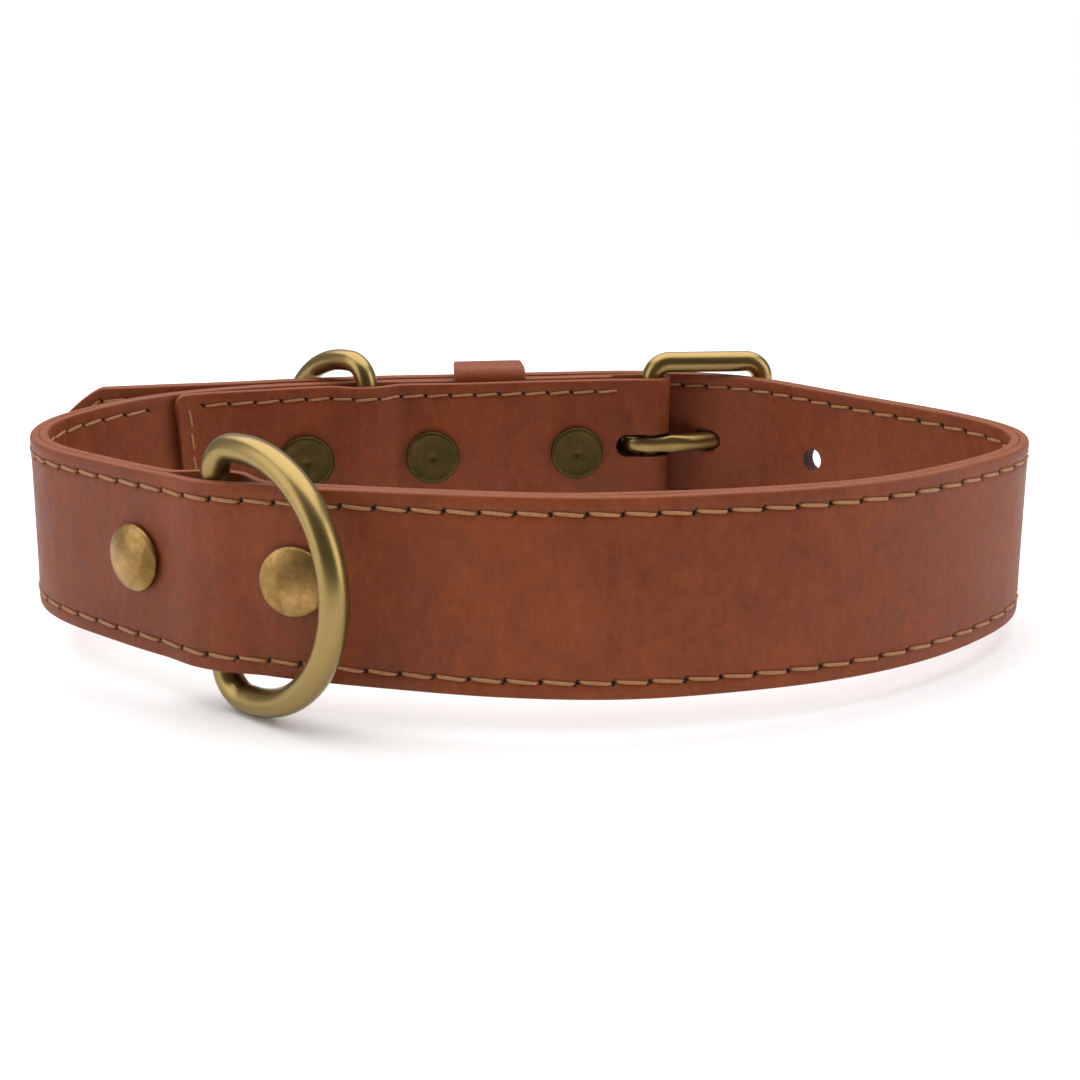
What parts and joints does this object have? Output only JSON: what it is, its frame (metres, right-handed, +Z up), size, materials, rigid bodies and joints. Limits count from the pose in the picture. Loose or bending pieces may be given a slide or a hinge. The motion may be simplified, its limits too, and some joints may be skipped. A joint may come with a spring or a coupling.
{
  "type": "dog collar",
  "caption": "Two-layer stitched leather dog collar buckled into its loop, with a wire buckle, a leather keeper, a riveted fold-back tab, and D-rings at front and back",
  "frame": {"origin": "centre of the whole collar's bounding box, on the surface that it lies on", "axes": "+X to the buckle's side, along the loop's long way; +Y from the front ring to the buckle; +Z up, along the axis of the neck's opening"},
  "size_m": [0.1626, 0.097, 0.0369],
  "materials": {
    "outer_leather": "reddish brown, waxed, satin",
    "lining_leather": "reddish brown, smooth, satin",
    "antique_brass": "dark antique brass, polished high spots",
    "rivet_brass": "mottled dark antique brass"
  },
  "bodies": {
    "collar": {"outer_strap": "outer_leather", "lining": "lining_leather", "keeper": "outer_leather", "buckle_frame": "antique_brass", "buckle_tongue": "antique_brass", "front_rivet_left": "rivet_brass", "front_rivet_right": "rivet_brass", "tab_rivet_right": "rivet_brass", "tab_rivet_middle": "rivet_brass", "tab_rivet_left": "rivet_brass"},
    "front_ring": {"front_ring": "antique_brass"},
    "back_ring": {"back_ring": "antique_brass"}
  },
  "joints": [
    {"name": "front_ring_swing", "type": "hinge", "parent": "collar", "child": "front_ring", "pos_m": [-0.03241, -0.03274, 0.01818], "axis": [0.0249, 0.1045, 0.9942], "range_deg": [-147, 2]},
    {"name": "back_ring_swing", "type": "hinge", "parent": "collar", "child": "back_ring", "pos_m": [-0.02154, 0.03254, 0.01834], "axis": [0.0237, -0.0064, 0.9997], "range_deg": [-86, 1]}
  ]
}
